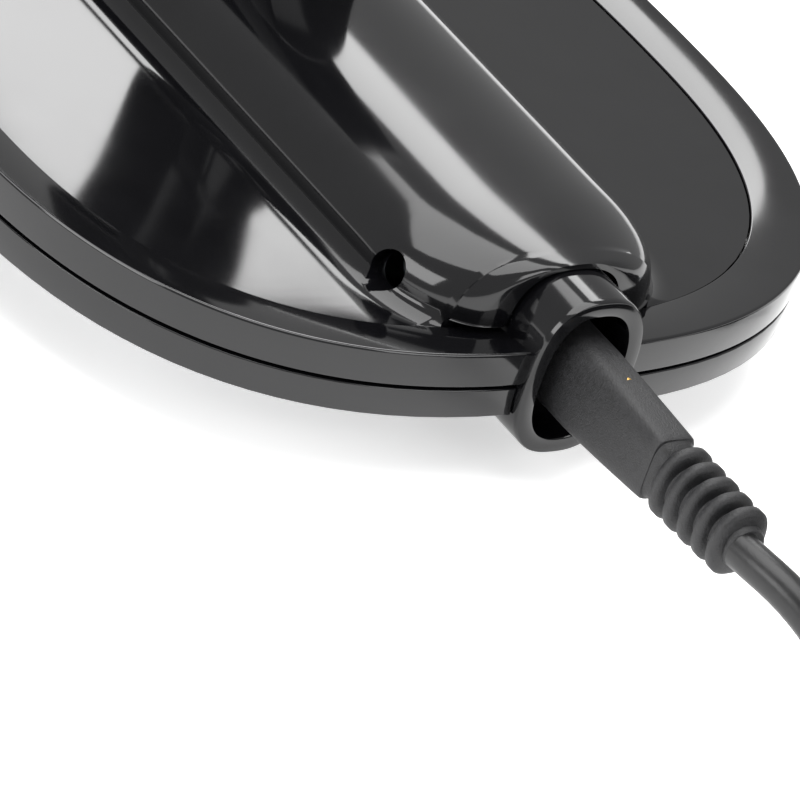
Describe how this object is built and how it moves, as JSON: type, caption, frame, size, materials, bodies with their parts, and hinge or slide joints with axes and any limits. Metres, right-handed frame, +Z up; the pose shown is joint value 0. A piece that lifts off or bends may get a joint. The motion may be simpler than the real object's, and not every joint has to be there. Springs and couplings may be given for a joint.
{
  "type": "clothes iron",
  "caption": "Compact clothes iron with a folding handle, temperature dial and a detachable cord set.",
  "frame": {"origin": "on the surface the iron stands on, under the middle of the iron without its cord set", "axes": "+X forwards to the iron's tip, +Y to the left, +Z up from the sole's face"},
  "size_m": [0.3712, 0.1735, 0.104],
  "materials": {
    "cast_aluminium": "cast, ground and polished face",
    "element_sheath": "drawn tube, dull",
    "brass": "turned or stamped, plain",
    "zinc_steel": "zinc plated",
    "ceramic": "unglazed steatite",
    "bright_steel": "ground, bright",
    "gloss_black_shell": "high-gloss black moulded ABS",
    "satin_black_plastic": "satin moulded",
    "wire_insulation": "braided glass sleeving",
    "lamp_glass": "clear glass with an orange glow",
    "lens_red": "clear red moulded",
    "grip_rubber": "matt soft-touch rubber",
    "matte_black_pvc": "fine-grained moulded PVC",
    "satin_black_cord": "smooth satin PVC jacket",
    "tie_plastic": "satin nylon strap"
  },
  "bodies": {
    "iron": {"soleplate": "cast_aluminium", "heating_element": "element_sheath", "element_terminals": "brass", "heat_shield": "zinc_steel", "thermal_fuse": "ceramic", "thermostat_frame": "ceramic", "thermostat_pin": "bright_steel", "lower_pan": "gloss_black_shell", "rim_ring": "gloss_black_shell", "body_shell": "gloss_black_shell", "inlet_collar": "gloss_black_shell", "inlet_holder": "satin_black_plastic", "inlet_pins": "brass", "terminal_block": "ceramic", "lead_wires": "wire_insulation", "pilot_lamp": "lamp_glass", "lamp_lens": "lens_red", "dial_housing": "gloss_black_shell", "rear_post": "gloss_black_shell", "front_post": "gloss_black_shell", "pivot_pins": "bright_steel", "release_spring": "bright_steel", "sole_screws": "zinc_steel", "pan_screws": "zinc_steel", "flank_screws": "zinc_steel"},
    "handle": {"pivot_bushes": "brass", "handle_left": "gloss_black_shell", "handle_right": "gloss_black_shell", "grip_insert": "grip_rubber", "handle_screws": "zinc_steel"},
    "dial": {"temperature_dial": "satin_black_plastic", "dial_shaft": "bright_steel"},
    "lever": {"thermostat_lever": "brass"},
    "button": {"release_button": "satin_black_plastic"},
    "cord_set": {"connector_body": "matte_black_pvc", "connector_contacts": "brass", "strain_relief": "matte_black_pvc", "cord_lead": "satin_black_cord", "cord_coil": "satin_black_cord", "cord_tail": "satin_black_cord", "cord_tie": "tie_plastic", "mains_plug": "matte_black_pvc", "mains_pins": "bright_steel"}
  },
  "joints": [
    {"name": "handle_fold", "type": "hinge", "parent": "iron", "child": "handle", "pos_m": [0.015, 0, 0.044], "axis": [1, 0, 0], "range_deg": [0, 90]},
    {"name": "dial_turn", "type": "hinge", "parent": "iron", "child": "dial", "pos_m": [0.024, 0, 0.04], "axis": [0, 0, -1], "range_deg": [0, 270]},
    {"name": "lever_tilt", "type": "hinge", "parent": "iron", "child": "lever", "pos_m": [0.009, 0, 0.014], "axis": [0, 1, 0], "range_deg": [0, 2.7]},
    {"name": "button_press", "type": "slide", "parent": "iron", "child": "button", "axis": [0, 0, -1], "range_m": [0, 0.0025], "stiffness_N_per_m": 400, "springref_m": -0.002, "deforming": ["release_spring"]},
    {"name": "cord_pull", "type": "slide", "parent": "iron", "child": "cord_set", "axis": [-1, 0, 0], "range_m": [0, 0.018]}
  ],
  "couplings": [
    {"joint": "lever_tilt", "follows": "dial_turn", "ratio": 0.01}
  ]
}
